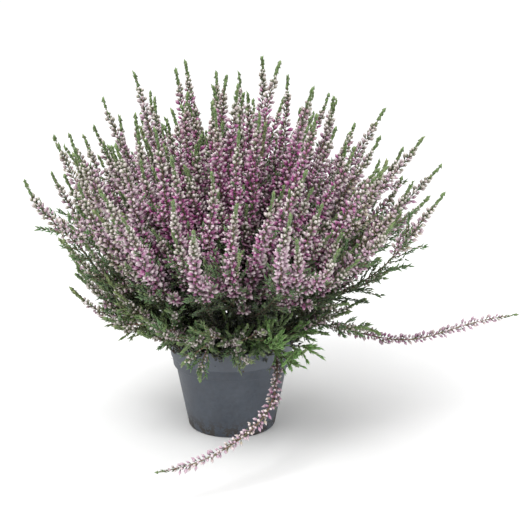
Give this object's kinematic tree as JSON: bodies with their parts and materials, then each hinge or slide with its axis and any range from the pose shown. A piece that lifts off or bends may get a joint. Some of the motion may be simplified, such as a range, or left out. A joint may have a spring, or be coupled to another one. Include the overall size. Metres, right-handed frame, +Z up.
{
  "type": "potted heather",
  "caption": "Bud-flowering heather in a round plastic nursery pot: an open fan of slender budded spikes with green tips over a leafy base, some trailing over the rim.",
  "frame": {"origin": "middle of the underside of the pot's foot, on the surface that the pot stands on", "axes": "+Z up along the pot's axis; the pictured side faces -Y, with -X to its left; the longest trailing spray reaches towards +X"},
  "size_m": [0.332, 0.2861, 0.269],
  "materials": {
    "pot_plastic": "satin",
    "peat": "matte",
    "bark": "matte",
    "budded_spray": "matte",
    "rim_spray": "matte",
    "leafy_shoots": "matte"
  },
  "bodies": {
    "root": {"nursery_pot": "pot_plastic", "peat": "peat", "woody_crown": "bark", "spray_01": "budded_spray", "spray_02": "budded_spray", "spray_03": "budded_spray", "spray_04": "budded_spray", "spray_05": "budded_spray", "spray_06": "budded_spray", "spray_07": "budded_spray", "spray_08": "budded_spray", "spray_09": "budded_spray", "spray_10": "budded_spray", "spray_11": "budded_spray", "spray_12": "budded_spray", "spray_13": "budded_spray", "spray_14": "budded_spray", "spray_15": "budded_spray", "spray_16": "budded_spray", "spray_17": "budded_spray", "spray_18": "budded_spray", "spray_19": "budded_spray", "spray_20": "budded_spray", "spray_21": "budded_spray", "spray_22": "budded_spray", "spray_23": "budded_spray", "spray_24": "budded_spray", "spray_25": "budded_spray", "spray_26": "budded_spray", "rim_spray_01": "rim_spray", "rim_spray_02": "rim_spray", "rim_spray_03": "rim_spray", "rim_spray_04": "rim_spray", "rim_spray_05": "rim_spray", "rim_spray_06": "rim_spray", "rim_spray_07": "rim_spray", "rim_spray_08": "rim_spray", "rim_spray_09": "rim_spray", "rim_spray_10": "rim_spray", "rim_spray_11": "rim_spray", "rim_spray_12": "rim_spray", "rim_spray_13": "leafy_shoots", "rim_spray_14": "rim_spray"}
  },
  "joints": []
}
